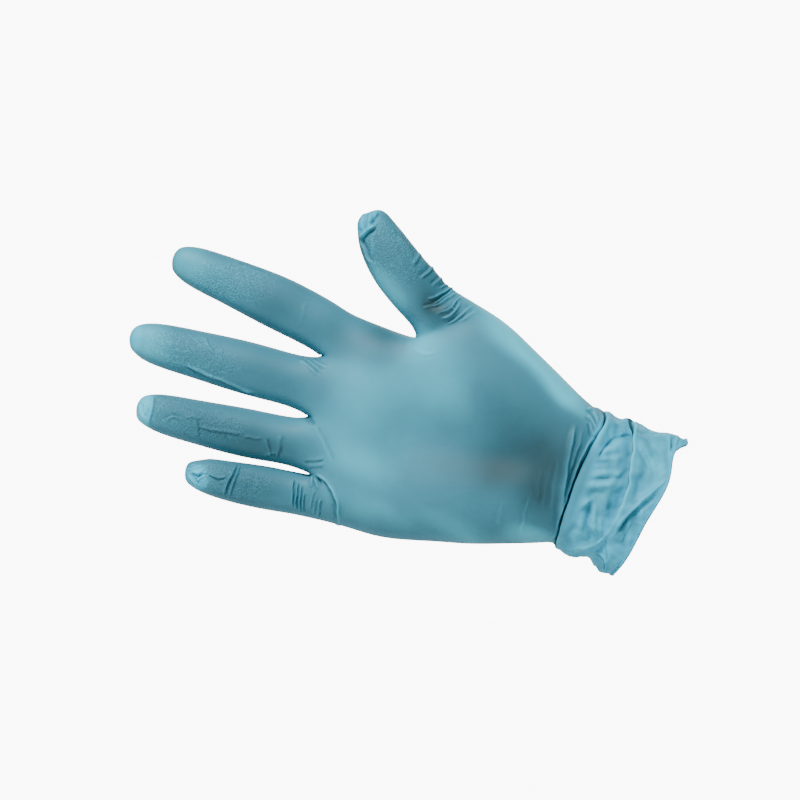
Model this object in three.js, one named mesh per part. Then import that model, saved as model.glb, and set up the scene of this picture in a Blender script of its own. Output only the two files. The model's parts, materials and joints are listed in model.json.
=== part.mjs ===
// Nitrile exam glove, in the form of the right hand that it was pulled over. Millimetres.
// The fingers point along -X, the palm faces -Y and the thumb is on the +Z side.
// The origin is the middle of the wrist, where the glove grips. It is one dipped film, open at the cuff.
import * as THREE from 'three';

// Driving sizes of the hand that the film covers.
const palmLength = 116; // from the wrist to the knuckle line
const palmBreadth = 84; // across the knuckles
const palmThickness = 29;
const wristBreadth = 60;
const wristThickness = 44;

// Driving sizes of the glove itself.
const cuffLength = 36; // from the wrist to the hem, on the palm side
const film = 1; // wall of the film
const beadDiameter = 2.4; // rolled edge at the hem

// The stalls. root is the column of the knuckle line that a stall grows from, and length runs from there to
// the tip. splay turns it to the thumb's side and flex to the palm's, in degrees, at its root and its tip.
const stalls = {
  index: { root: 1, length: 77, breadth: 20.6, depth: 19, splay: 12, tipSplay: 4, flex: 1, tipFlex: 5 },
  middle: { root: 3, length: 81.3, breadth: 20.8, depth: 19.5, splay: -1, tipSplay: -3, flex: 2, tipFlex: 5 },
  ring: { root: 5, length: 74.4, breadth: 19.5, depth: 18.5, splay: -7, tipSplay: -2, flex: 2, tipFlex: 6 },
  little: { root: 7, length: 55.5, breadth: 16.9, depth: 16, splay: -6, tipSplay: -5, flex: 2, tipFlex: 9 },
};
const thumb = { length: 64, breadth: 21.6, depth: 20, splay: 28, tipSplay: 47, flex: 12, tipFlex: 6 };
const thumbRoot = { along: 0.58, across: 0.48, proud: 0.16 }; // of the palm's length, breadth and thickness

// Sections of a stall, as shares of its length, breadth and depth.
const stallSections = [
  { along: 0.1, breadth: 0.98, depth: 1.02 },
  { along: 0.24, breadth: 0.99, depth: 0.97 },
  { along: 0.38, breadth: 1, depth: 1 },
  { along: 0.52, breadth: 0.95, depth: 0.92 },
  { along: 0.66, breadth: 0.88, depth: 0.87 },
  { along: 0.79, breadth: 0.83, depth: 0.82 },
  { along: 0.9, breadth: 0.72, depth: 0.68 },
  { along: 0.975, breadth: 0.46, depth: 0.42 },
];
const thumbSections = [
  { along: 0.22, breadth: 1.08, depth: 1.04 },
  { along: 0.34, breadth: 0.96, depth: 0.98 },
  { along: 0.46, breadth: 0.94, depth: 0.95 },
  { along: 0.58, breadth: 1, depth: 0.98 },
  { along: 0.7, breadth: 0.99, depth: 0.93 },
  { along: 0.82, breadth: 0.9, depth: 0.84 },
  { along: 0.92, breadth: 0.72, depth: 0.68 },
  { along: 0.98, breadth: 0.46, depth: 0.42 },
];

// The nine columns of every section, from the thumb's side to the little finger's. At the knuckle line the
// odd ones are stalls and the others webs or sides. across is a share of half the breadth, back is how far
// the column's knuckle lies towards the wrist, of the palm's length, and fill its share of the thickness.
const columns = [
  { across: 0.93, back: 0.035, fill: 0.95 },
  { across: 0.78, back: 0.015, fill: 1 },
  { across: 0.53, back: 0.015, fill: 0.88 },
  { across: 0.24, back: -0.005, fill: 1 },
  { across: -0.06, back: 0.03, fill: 0.88 },
  { across: -0.32, back: 0.03, fill: 1 },
  { across: -0.6, back: 0.09, fill: 0.88 },
  { across: -0.79, back: 0.1, fill: 1 },
  { across: -0.94, back: 0.14, fill: 0.95 },
];

// Sections of the palm, from the knuckle line to the wrist. along is a share of the palm's length from the
// wrist. radial and ulnar are the edges on the thumb's and the little finger's side, of the palm's breadth,
// and front and rear the surfaces of the palm and of the back of the hand, of its thickness, all from the
// middle. thenar is how far the ball of the thumb stands out, and knuckle what is left of the knuckle line.
const palmSections = [
  { along: 1, radial: 0.44, ulnar: 0.578, front: 0.42, rear: 0.42, thenar: 0, knuckle: 1 },
  { along: 0.87, radial: 0.43, ulnar: 0.57, front: 0.48, rear: 0.5, thenar: 0, knuckle: 0.5 },
  { along: 0.705, radial: 0.415, ulnar: 0.568, front: 0.53, rear: 0.56, thenar: 0.16, knuckle: 0.15 },
  { along: 0.585, radial: 0.65, ulnar: 0.555, front: 0.57, rear: 0.6, thenar: 0.34, knuckle: 0 },
  { along: 0.45, radial: 0.65, ulnar: 0.52, front: 0.64, rear: 0.63, thenar: 0.34, knuckle: 0 },
  { along: 0.32, radial: 0.55, ulnar: 0.475, front: 0.69, rear: 0.65, thenar: 0.2, knuckle: 0 },
  { along: 0.2, radial: 0.462, ulnar: 0.42, front: 0.72, rear: 0.66, thenar: 0.08, knuckle: 0 },
];
const webReach = 0.02; // how far the middle of a web lies beyond its two edges, of the palm's length
const thumbWeb = 2; // the section at the thumb's web, from which its stall takes up two bands

// Sections of the wrist and the cuff, with its folds. thumb, palm, little and back say how far from the wrist
// a section lies on each side, as shares of the cuff's length. radial and ulnar are its edges, of the wrist's
// breadth, and front and rear its surfaces, of the wrist's thickness.
const cuffSections = [
  { thumb: -0.3, palm: -0.32, little: -0.32, back: -0.3, radial: 0.53, ulnar: 0.53, front: 0.49, rear: 0.47 },
  { thumb: -0.12, palm: -0.17, little: -0.18, back: -0.15, radial: 0.5, ulnar: 0.5, front: 0.48, rear: 0.47 },
  { thumb: -0.02, palm: -0.08, little: -0.1, back: -0.06, radial: 0.49, ulnar: 0.5, front: 0.43, rear: 0.45 },
  { thumb: 0.07, palm: 0.0, little: -0.02, back: 0.03, radial: 0.49, ulnar: 0.53, front: 0.55, rear: 0.51 },
  { thumb: 0.14, palm: 0.14, little: 0.08, back: 0.15, radial: 0.47, ulnar: 0.56, front: 0.52, rear: 0.51 },
  { thumb: 0.22, palm: 0.34, little: 0.22, back: 0.3, radial: 0.47, ulnar: 0.53, front: 0.51, rear: 0.5 },
  { thumb: 0.28, palm: 0.46, little: 0.34, back: 0.42, radial: 0.48, ulnar: 0.5, front: 0.45, rear: 0.47 },
  { thumb: 0.36, palm: 0.55, little: 0.42, back: 0.52, radial: 0.48, ulnar: 0.56, front: 0.55, rear: 0.52 },
  { thumb: 0.54, palm: 0.66, little: 0.49, back: 0.66, radial: 0.46, ulnar: 0.62, front: 0.52, rear: 0.51 },
  { thumb: 0.76, palm: 0.74, little: 0.55, back: 0.8, radial: 0.47, ulnar: 0.61, front: 0.52, rear: 0.52 },
  { thumb: 0.96, palm: 0.82, little: 0.61, back: 0.93, radial: 0.48, ulnar: 0.56, front: 0.51, rear: 0.53 },
];

// Pads, hollows and folds. Each runs from one place to another, along as a share of the length from the wrist
// and across as a share of the breadth, has a width as a share of the breadth, and stands proud by rise, or
// sinks in by it if it is below zero, as a share of the thickness.
const palmForms = {
  thenarPad: { along: 0.34, across: 0.26, toAlong: 0.6, toAcross: 0.38, width: 0.16, rise: 0.08 },
  littlePad: { along: 0.25, across: -0.26, toAlong: 0.6, toAcross: -0.4, width: 0.16, rise: 0.1 },
  hollow: { along: 0.3, across: 0.02, toAlong: 0.62, toAcross: -0.04, width: 0.15, rise: -0.18 },
  knucklePads: { along: 0.84, across: 0.3, toAlong: 0.8, toAcross: -0.42, width: 0.1, rise: 0.07 },
  thumbCrease: { along: 0.7, across: 0.6, toAlong: 0.64, toAcross: 0.7, width: 0.03, rise: -0.06 },
  thumbFold: { along: 0.67, across: 0.58, toAlong: 0.6, toAcross: 0.66, width: 0.03, rise: 0.06 },
  littleFold: { along: 0.9, across: -0.38, toAlong: 0.79, toAcross: -0.58, width: 0.03, rise: 0.06 },
};
const backForms = {
  thumbTendon: { along: 0.2, across: 0.3, toAlong: 0.62, toAcross: 0.52, width: 0.1, rise: 0.07 },
  knuckles: { along: 0.88, across: 0.28, toAlong: 0.83, toAcross: -0.4, width: 0.1, rise: 0.08 },
};
const cuffForms = {
  pleat: { along: 0.85, across: 0.06, toAlong: 0.5, toAcross: -0.3, width: 0.06, rise: 0.05 },
  groove: { along: 0.76, across: -0.06, toAlong: 0.52, toAcross: -0.36, width: 0.04, rise: -0.04 },
  topRidge: { along: 0.46, across: 0.34, toAlong: 0.68, toAcross: 0.2, width: 0.05, rise: 0.04 },
  gathers: { along: 0.1, across: 0.3, toAlong: 0.32, toAcross: 0.4, width: 0.05, rise: -0.03 },
};

const roundness = 2.4; // of a section through the palm or the cuff, where 2 is an ellipse
const stallSides = 8;
const cageGrowth = 1.08; // a smoothed section lies inside its cage by this much
const sumOf = (vectors) => vectors.reduce((sum, vector) => sum.add(vector), new THREE.Vector3());
const average = (vectors) => sumOf(vectors).divideScalar(vectors.length);

// The cage of the outer surface: points, and faces of four points each that face outwards.
const cage = { points: [], faces: [] };

function addPoint(x, y, z) {
  cage.points.push(new THREE.Vector3(x, y, z));
  return cage.points.length - 1;
}

// Joins two rings of a tube, the one nearer the fingertips first. Gaps are the faces left out at the end.
function addBand(distal, proximal, gaps = 0) {
  for (let i = 0; i < distal.length - gaps; i++) {
    const next = (i + 1) % distal.length;
    cage.faces.push([distal[i], proximal[i], proximal[next], distal[next]]);
  }
}

// How much of its thickness a section has at a share of its half breadth.
const fullness = (across) => (1 - Math.abs(across) ** roundness) ** (1 / roundness);

// A section: nine points along the back, one at the little finger's side, nine along the palm and one at the
// thumb's side, unless it is open there. place gives x for a share of the half breadth, a side and a column.
function addSection(section, breadth, thickness, place, isOpen = false) {
  const half = (breadth * (section.radial + section.ulnar)) / 2;
  const middle = (breadth * (section.radial - section.ulnar)) / 2;
  const point = (across, side, column) => {
    const depth = side < 0 ? section.front : section.rear;
    const fill = column ? 1 - (1 - column.fill) * (section.knuckle ?? 0) : 0;
    const ball = (section.thenar ?? 0) * Math.max(across, 0) ** 2 * ((1 - side) / 2);
    const y = thickness * (side * depth * fill * fullness(across) - ball);
    return addPoint(place(across, side, column), y, middle + half * across);
  };
  const row = (side) => columns.map((column) => point(column.across, side, column));
  return { back: row(1), littleSide: point(-1, 0), palm: row(-1), thumbSide: isOpen ? null : point(1, 0) };
}

const ringOf = (rows) => [...rows.back, rows.littleSide, ...rows.palm.toReversed(), rows.thumbSide];

// A section of the palm. Near the knuckle line its columns follow the knuckles.
function addPalmSection(section, i) {
  const ends = { 1: columns[0], '-1': columns.at(-1) };
  const place = (across, side, column) => {
    const { back } = column ?? ends[across];
    return -palmLength * (section.along - back * section.knuckle);
  };
  return addSection(section, palmBreadth, palmThickness, place, i === thumbWeb + 1);
}

// A section of the cuff, whose place runs evenly between the four sides.
function addCuffSection(section) {
  const { thumb: thumbSide, palm, little, back } = section;
  return addSection(section, wristBreadth, wristThickness, (across, side) => {
    const toPalm = -side * Math.sqrt(1 - across ** 2);
    const even = (thumbSide + palm + little + back) / 4;
    const crossed = (palm + back - thumbSide - little) / 4;
    const tilt = (across * (thumbSide - little) + toPalm * (palm - back)) / 2;
    return cuffLength * (even + tilt + crossed * (toPalm ** 2 - across ** 2));
  });
}

// A stall from the ring of its root to a closed tip. Its middle line turns evenly from root to tip.
function addStall(stall, sections, rootRing, rootMiddle) {
  const turned = (from, to, along) => THREE.MathUtils.degToRad(THREE.MathUtils.lerp(from, to, along));
  const frameAt = (along) => {
    const splay = turned(stall.splay, stall.tipSplay, along);
    const flex = turned(stall.flex, stall.tipFlex, along);
    const lateral = new THREE.Vector3(Math.sin(splay), 0, Math.cos(splay));
    const outward = new THREE.Vector3(-Math.cos(splay), 0, Math.sin(splay)).multiplyScalar(Math.cos(flex));
    outward.y = -Math.sin(flex);
    return { outward, lateral, dorsal: new THREE.Vector3().crossVectors(outward, lateral) };
  };
  const middleAt = (along) =>
    rootMiddle.clone().addScaledVector(frameAt(along / 2).outward, stall.length * along);
  const addRing = ({ along, breadth, depth }) => {
    const { lateral, dorsal } = frameAt(along);
    return Array.from({ length: stallSides }, (_, side) => {
      const angle = (2 * Math.PI * (side + 1)) / stallSides;
      const point = middleAt(along);
      point.addScaledVector(lateral, (Math.cos(angle) * cageGrowth * stall.breadth * breadth) / 2);
      point.addScaledVector(dorsal, (Math.sin(angle) * cageGrowth * stall.depth * depth) / 2);
      return addPoint(...point);
    });
  };
  const last = sections.reduce((proximal, section) => {
    const ring = addRing(section);
    addBand(ring, proximal);
    return ring;
  }, rootRing);
  const tip = addPoint(...middleAt(1));
  for (let i = 0; i < stallSides; i += 2) {
    cage.faces.push([tip, last[i], last[i + 1], last[(i + 2) % stallSides]]);
  }
}

// One step of Catmull-Clark smoothing. The open edge keeps a smooth curve of its own.
function smoothed({ points, faces }) {
  const centres = faces.map((face) => average(face.map((i) => points[i])));
  const keyOf = (a, b) => (a < b ? `${a} ${b}` : `${b} ${a}`);
  const edges = new Map();
  faces.forEach((face, f) => {
    face.forEach((a, k) => {
      const b = face[(k + 1) % face.length];
      const edge = edges.get(keyOf(a, b)) ?? { ends: [a, b], centres: [] };
      edge.centres.push(centres[f]);
      edges.set(keyOf(a, b), edge);
    });
  });
  const around = points.map(() => ({ centres: [], middles: [], rim: [] }));
  faces.forEach((face, f) => face.forEach((i) => around[i].centres.push(centres[f])));
  const result = [];
  for (const edge of edges.values()) {
    const middle = average(edge.ends.map((i) => points[i]));
    const isRim = edge.centres.length === 1;
    edge.ends.forEach((i) => (isRim ? around[i].rim : around[i].middles).push(middle));
    edge.point = result.push(isRim ? middle : average([middle, average(edge.centres)])) - 1;
  }
  const corners = points.map((point, i) => {
    const { centres: near, middles, rim } = around[i];
    if (rim.length > 0) return result.push(average([point, average(rim)])) - 1;
    const pulled = average(near).addScaledVector(average(middles), 2).addScaledVector(point, near.length - 3);
    return result.push(pulled.divideScalar(near.length)) - 1;
  });
  const split = faces.flatMap((face, f) => {
    const middle = result.push(centres[f]) - 1;
    const edgePoint = (k) => edges.get(keyOf(face[k % 4], face[(k + 1) % 4])).point;
    return face.map((corner, k) => [corners[corner], edgePoint(k), middle, edgePoint(k + 3)]);
  });
  return { points: result, faces: split };
}

// Normals of the points, pointing out of the glove.
function normalsOf({ points, faces }) {
  const normals = points.map(() => new THREE.Vector3());
  for (const [a, b, c, d] of faces) {
    const across = points[c].clone().sub(points[a]);
    const normal = across.cross(points[d].clone().sub(points[b]));
    [a, b, c, d].forEach((i) => normals[i].add(normal));
  }
  return normals.map((normal) => normal.normalize());
}

// Raises or sinks the points of a surface near the line of each form, on the palm (-1) or the back (1).
function shaped(surface, forms, side, length, breadth, thickness) {
  const normals = normalsOf(surface);
  const line = new THREE.Line3();
  const nearest = new THREE.Vector3();
  const points = surface.points.map((point, i) => {
    const flat = new THREE.Vector3(point.x, 0, point.z);
    if (normals[i].y * side <= 0) return point;
    const rise = Object.values(forms).reduce((sum, form) => {
      line.start.set(length * form.along, 0, breadth * form.across);
      line.end.set(length * form.toAlong, 0, breadth * form.toAcross);
      line.closestPointToPoint(flat, true, nearest);
      const away = nearest.distanceTo(flat) / (breadth * form.width);
      return sum + form.rise * Math.exp(-(away ** 2)) * Math.abs(normals[i].y);
    }, 0);
    return point.clone().addScaledVector(normals[i], rise * thickness);
  });
  return { points, faces: surface.faces };
}

// The open edge of a surface as a closed row of points, in the order of its faces.
function rimOf({ faces }) {
  const sides = new Set(faces.flatMap((face) => face.map((a, k) => `${a} ${face[(k + 1) % 4]}`)));
  const following = new Map();
  for (const side of sides) {
    const [a, b] = side.split(' ').map(Number);
    if (!sides.has(`${b} ${a}`)) following.set(a, b);
  }
  const rim = [following.keys().next().value];
  while (following.get(rim.at(-1)) !== rim[0]) rim.push(following.get(rim.at(-1)));
  return rim;
}

// The film as a closed body: the outer surface, the inner one at a wall's distance, and the bead at the hem.
function filmOf(surface) {
  const normals = normalsOf(surface);
  const count = surface.points.length;
  const inner = surface.points.map((point, i) => point.clone().addScaledVector(normals[i], -film));
  const points = [...surface.points, ...inner];
  const faces = [...surface.faces, ...surface.faces.map((face) => face.map((i) => i + count).reverse())];
  const rim = rimOf(surface);
  const radius = beadDiameter / 2;
  const beadAngles = [130, 65, 0, -65, -130];
  let previous = rim;
  const addBeadBand = (next) => {
    rim.forEach((_, i) => {
      const j = (i + 1) % rim.length;
      faces.push([previous[j], previous[i], next[i], next[j]]);
    });
    previous = next;
  };
  for (const degrees of beadAngles) {
    const angle = THREE.MathUtils.degToRad(degrees);
    addBeadBand(
      rim.map((i) => {
        const outward = new THREE.Vector3(1, 0, 0).projectOnPlane(normals[i]).normalize();
        const point = surface.points[i].clone().addScaledVector(outward, radius * (1 + Math.cos(angle)));
        return points.push(point.addScaledVector(normals[i], radius * Math.sin(angle) - film / 2)) - 1;
      }),
    );
  }
  addBeadBand(rim.map((i) => i + count));
  return { points, faces };
}

function geometryOf({ points, faces }) {
  const geometry = new THREE.BufferGeometry();
  const corners = faces.flatMap(([a, b, c, d]) => [a, b, c, a, c, d]);
  geometry.setFromPoints(points);
  geometry.setIndex(corners);
  geometry.computeVertexNormals();
  return geometry;
}

// The palm and the cuff, with room for the thumb.
const palmRings = palmSections.map(addPalmSection);
const cuffRings = cuffSections.map(addCuffSection);
[...palmRings, ...cuffRings].forEach((ring, i, rings) => {
  if (i === 0) return;
  const besideThumb = i === thumbWeb + 1 || i === thumbWeb + 2;
  addBand(ringOf(rings[i - 1]), ringOf(ring), besideThumb ? 2 : 0);
});

// The finger stalls. Neighbours share the points of the web between them.
const knuckles = palmRings[0];
const webs = columns.map((_, i) => {
  if (i === 0) return knuckles.thumbSide;
  if (i === columns.length - 1) return knuckles.littleSide;
  if (i % 2 === 1) return null;
  const { x, z } = average([cage.points[knuckles.back[i]], cage.points[knuckles.palm[i]]]);
  return addPoint(x - palmLength * webReach, 0, z);
});
for (const stall of Object.values(stalls)) {
  const [a, b, c] = [stall.root - 1, stall.root, stall.root + 1];
  const { back, palm } = knuckles;
  const rootMiddle = average([cage.points[back[b]], cage.points[palm[b]]]);
  const rootRing = [back[a], back[b], back[c], webs[c], palm[c], palm[b], palm[a], webs[a]];
  addStall(stall, stallSections, rootRing, rootMiddle);
}

// The thumb's stall.
const [web, side, heel] = palmRings.slice(thumbWeb);
const thumbRing = [
  heel.back[0], side.back[0], web.back[0], web.thumbSide,
  web.palm[0], side.palm[0], heel.palm[0], heel.thumbSide,
];
const thumbMiddle = new THREE.Vector3(
  -palmLength * thumbRoot.along,
  -palmThickness * thumbRoot.proud,
  palmBreadth * thumbRoot.across,
);
addStall(thumb, thumbSections, thumbRing, thumbMiddle);

const toPalm = -1;
const toBack = 1;
let outer = smoothed(cage);
outer = shaped(outer, palmForms, toPalm, -palmLength, palmBreadth, palmThickness);
outer = shaped(outer, backForms, toBack, -palmLength, palmBreadth, palmThickness);
outer = shaped(outer, cuffForms, toPalm, cuffLength, wristBreadth, wristThickness);

const nitrile = new THREE.MeshStandardMaterial({ color: '#7fb4c9', roughness: 0.45, metalness: 0 });
const glove = new THREE.Mesh(geometryOf(filmOf(outer)), nitrile);
glove.name = 'glove';

const group = new THREE.Group();
group.add(glove);
export default group;
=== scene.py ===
import json
import math

import bpy
import numpy as np
from mathutils import Matrix, Vector, noise

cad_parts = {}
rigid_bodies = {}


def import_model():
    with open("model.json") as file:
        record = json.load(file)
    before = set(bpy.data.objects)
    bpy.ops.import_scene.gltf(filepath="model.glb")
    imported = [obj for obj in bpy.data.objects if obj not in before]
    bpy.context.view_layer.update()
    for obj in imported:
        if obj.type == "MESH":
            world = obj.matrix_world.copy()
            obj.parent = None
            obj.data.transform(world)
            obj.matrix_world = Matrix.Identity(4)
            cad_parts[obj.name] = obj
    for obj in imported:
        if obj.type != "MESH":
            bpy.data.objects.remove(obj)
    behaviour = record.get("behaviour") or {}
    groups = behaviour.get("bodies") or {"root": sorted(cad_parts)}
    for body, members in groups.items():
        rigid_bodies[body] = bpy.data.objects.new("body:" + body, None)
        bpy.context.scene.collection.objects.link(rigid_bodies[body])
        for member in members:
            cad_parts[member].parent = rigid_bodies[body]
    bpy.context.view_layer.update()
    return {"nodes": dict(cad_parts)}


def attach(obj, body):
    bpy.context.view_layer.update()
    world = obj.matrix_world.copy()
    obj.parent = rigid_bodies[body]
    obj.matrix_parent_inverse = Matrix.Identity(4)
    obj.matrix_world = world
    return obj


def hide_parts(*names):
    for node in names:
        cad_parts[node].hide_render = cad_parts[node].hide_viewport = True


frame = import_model()
mm = 0.001


def pickOnly(piece):
    bpy.ops.object.select_all(action="DESELECT")
    piece.select_set(True)
    bpy.context.view_layer.objects.active = piece


def pickFaces(piece, chosen):
    bpy.ops.object.mode_set(mode="EDIT")
    bpy.ops.mesh.select_mode(type="FACE")
    bpy.ops.mesh.select_all(action="DESELECT")
    bpy.ops.object.mode_set(mode="OBJECT")
    piece.data.polygons.foreach_set("select", chosen)
    bpy.ops.object.mode_set(mode="EDIT")


def pointsOf(piece):  # vertex places in mm
    flat = np.empty(len(piece.data.vertices) * 3)
    piece.data.vertices.foreach_get("co", flat)
    return flat.reshape(-1, 3) / mm


def normalsOf(piece):
    flat = np.empty(len(piece.data.vertices) * 3, np.float32)
    piece.data.vertices.foreach_get("normal", flat)
    return flat.reshape(-1, 3).astype(float)


def movePoints(piece, places):
    piece.data.vertices.foreach_set("co", (places * mm).astype(np.float32).ravel())
    piece.data.update()


def faceMiddles(piece):
    flat = np.empty(len(piece.data.polygons) * 3, np.float32)
    piece.data.polygons.foreach_get("center", flat)
    return flat.reshape(-1, 3).astype(float) / mm


def smoothStep(low, high, value):
    t = np.clip((value - low) / (high - low), 0, 1)
    return t * t * (3 - 2 * t)


def bell(gap, width):
    return np.exp(-((gap / width) ** 2))


def applyModifier(piece, kind, **values):
    pickOnly(piece)
    modifier = piece.modifiers.new(kind.title(), kind)
    for name, value in values.items():
        setattr(modifier, name, value)
    bpy.ops.object.modifier_apply(modifier=modifier.name)


def joinTo(piece, other):
    bpy.ops.object.select_all(action="DESELECT")
    other.select_set(True)
    piece.select_set(True)
    bpy.context.view_layer.objects.active = piece
    bpy.ops.object.join()


# the glove's film, worked from a copy of the CAD shell

film = {
    "wall": 0.45,  # mm
    "bead": 0.65,  # mm, radius of the rolled edge at the hem
    "beadRounding": 2,
    "merge": 0.02,  # mm, corners of the CAD shell that are nearer than this become one
    "turnStep": 5,  # degrees between two readings of where the CAD cuff ends
    "turnReach": 7,  # degrees to each side that a reading takes in
    "cuffFrom": 10,  # mm, the readings look past this x
    "trim": 6,  # mm cut off at the hem before it is made again
    "lip": 0.1,  # mm, how far a new row of faces is drawn out before it is placed
    "hemBlend": 6,  # mm from the middle, where the hem is wholly of one side
    "levels": 2,  # of subdivision
    "backFacing": 0.25,  # the smooth back's normals have more y than this
    "backEnd": -9,  # mm, the smooth back ends at this x
    "backRatio": 0.74,  # share of its faces that it keeps
    "liningRatio": 0.07,  # share of the faces that the inner side keeps
    "fineFrom": 30,  # mm, the inner side keeps all its faces past this x
    "liningShading": -0.3,  # share of the painted light and shade that the inner side takes, turned over: a crease outside is a ridge inside
    "outlineEdge": (0.1, 0.85),  # how squarely a point faces outwards where a fit starts and is whole
    "nearReach": 1.5,  # mm from a fold's line where the faces are halved
    "sharpReach": 0.55,  # mm from a sharp fold's line where they are halved again
    "sharpWidth": 0.5,  # mm, the widest ridge of a sharp fold
    "frontBelow": 3,  # mm, faces count as the front's up to this y
    "looseFrom": 2,  # mm, past this x and below looseBelow all the faces are halved once
    "looseBelow": -1,
    "sideEdge": (-0.45, 0.15),  # how squarely a point faces a side where its folds start and are whole
    "levelEdge": (0.05, 0.5),  # the same for dips and laps, which would notch the outline
    "foldHeight": 1.45,  # the rows of folds are made this much higher
    "foldShading": 0.55,  # how far a ridge is painted paler as a highlight and a crease darker as shade
    "dipWidth": 0.85,  # a dip's width as a share of its ridge's
    "dipShading": 1.2,  # a dip's painted shade as a share of a ridge's painted highlight
    "foldTail": 3,  # widths from its line where a fold is taken as flat
    "lapTail": 2.5,  # the same for a lap, in reaches
    "fade": 7.0,  # mm over which a fold dies out at each end
    "fadeShare": 0.18,  # of its length, at most
    "drift": 0.6,  # mm that the folds' lines wander
    "calm": 0.65,  # how much less they wander on the cuff
    "calmEdge": (-6, -2),  # mm, the x where that starts and is whole
    "vary": 0.5,  # how far a fold's height changes along it
    "lapHighlight": (0.6, 0.4, 0.45),  # a lap's painted highlight along its edge: strength, place and width in mm
    "lapShadow": (0.8, -0.6, 0.6),  # the painted shadow at its foot
    "looseEdge": (-2, 5),  # mm, the x where the loose film starts and is wholly loose
    "swellShading": 0.45,  # how far a swell is painted paler as light, and a hollow darker as shade, on the loose film
    "slow": 0.9,  # mm, the loose film's slow unevenness
    "quick": 0.45,  # mm, its quick unevenness
    "uneven": 0.3,  # how uneven its colour is
}

# slow drifts: how many a mm, and a seed
waves = {
    "lineX": (0.22, 3.1),
    "lineZ": (0.22, 8.4),
    "height": (0.16, 15.0),
    "slow": (0.13, 21.0),
    "quick": (0.34, 33.0),
    "uneven": (0.2, 41.0),
    "paintX": (0.08, 5.0),
    "paintZ": (0.08, 9.0),
}

# the hem, as its x on the palm side and on the back, at each z
hem = [
    (-37, 22.6, 22.0),
    (-34, 23.6, 23.0),
    (-30, 24.6, 24.0),
    (-25, 26.0, 25.4),
    (-20, 27.0, 26.4),
    (-15, 27.8, 27.4),
    (-10, 28.6, 28.4),
    (-5, 30.0, 29.4),
    (4, 32.3, 31.0),
    (10, 33.2, 32.0),
    (14, 32.4, 32.0),
    (19, 31.5, 32.2),
    (22, 31.8, 33.0),
    (24, 33.8, 34.8),
    (25.4, 36.9, 36.6),
    (27, 36.5, 36.2),
    (29, 35.0, 35.2),
    (32, 33.2, 34.0),
]


def outerShell():  # the outer side of the CAD shell, cut back at the hem
    mesh = frame["nodes"]["glove"].data.copy()
    shell = bpy.data.objects.new("gloveFilm", mesh)
    bpy.context.scene.collection.objects.link(shell)
    pickOnly(shell)
    bpy.ops.object.mode_set(mode="EDIT")
    bpy.ops.mesh.select_all(action="SELECT")
    bpy.ops.mesh.remove_doubles(threshold=film["merge"] * mm)
    bpy.ops.mesh.tris_convert_to_quads(face_threshold=math.pi, shape_threshold=math.pi)
    bpy.ops.object.mode_set(mode="OBJECT")
    places = pointsOf(shell)
    turn = np.degrees(np.arctan2(places[:, 2], places[:, 1]))
    cuffOnly = places[:, 0] > film["cuffFrom"]
    middles = faceMiddles(shell)
    faceTurn = np.degrees(np.arctan2(middles[:, 2], middles[:, 1]))
    edgeAt = {}
    for step in range(-180, 180, film["turnStep"]):
        away = np.abs((turn - step + 180) % 360 - 180)
        edgeAt[step] = places[cuffOnly & (away < film["turnReach"]), 0].max()
    nearest = (np.round(faceTurn / film["turnStep"]) * film["turnStep"]).astype(int)
    nearest[nearest == 180] = -180
    edge = np.array([edgeAt[step] for step in nearest])
    pickFaces(shell, middles[:, 0] > edge - film["trim"])
    bpy.ops.mesh.delete(type="FACE")
    bpy.ops.mesh.select_mode(type="VERT")
    bpy.ops.mesh.select_all(action="DESELECT")
    bpy.ops.object.mode_set(mode="OBJECT")
    tip = int(np.argmin(pointsOf(shell)[:, 0]))
    shell.data.vertices[tip].select = True
    bpy.ops.object.mode_set(mode="EDIT")
    bpy.ops.mesh.select_linked()
    bpy.ops.mesh.select_all(action="INVERT")
    bpy.ops.mesh.delete(type="VERT")
    bpy.ops.object.mode_set(mode="OBJECT")
    shell.data.materials.clear()
    print("outer shell:", len(shell.data.vertices), "points", len(shell.data.polygons), "faces")
    return shell


def pickRim(shell):
    bpy.ops.object.mode_set(mode="EDIT")
    bpy.ops.mesh.select_mode(type="EDGE")
    bpy.ops.mesh.select_all(action="SELECT")
    bpy.ops.mesh.region_to_loop()


def remakeHem(shell):  # draws the cut edge out to the hem
    zs = [row[0] for row in hem]
    for share in (0.5, 1.0):  # two rows of faces, of which the second ends at the hem
        pickRim(shell)
        bpy.ops.mesh.extrude_region_move(TRANSFORM_OT_translate={"value": (film["lip"] * mm, 0, 0)})
        bpy.ops.object.mode_set(mode="OBJECT")
        places = pointsOf(shell)
        picked = np.array([v.select for v in shell.data.vertices])
        front = smoothStep(-film["hemBlend"], film["hemBlend"], -places[:, 1])
        wanted = np.interp(places[:, 2], zs, [r[1] for r in hem]) * front
        wanted += np.interp(places[:, 2], zs, [r[2] for r in hem]) * (1 - front)
        places[picked, 0] += (wanted[picked] - places[picked, 0]) * share
        movePoints(shell, places)
    print("hem remade")


def rounded(line, times=2):  # cuts the corners of a line of points
    line = np.array(line, float)
    for _ in range(times):
        near = line[:-1] * 0.75 + line[1:] * 0.25
        far = line[:-1] * 0.25 + line[1:] * 0.75
        cut = np.empty((len(near) * 2, line.shape[1]))
        cut[0::2], cut[1::2] = near, far
        line = np.vstack([line[:1], cut, line[-1:]])
    return line


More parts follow.
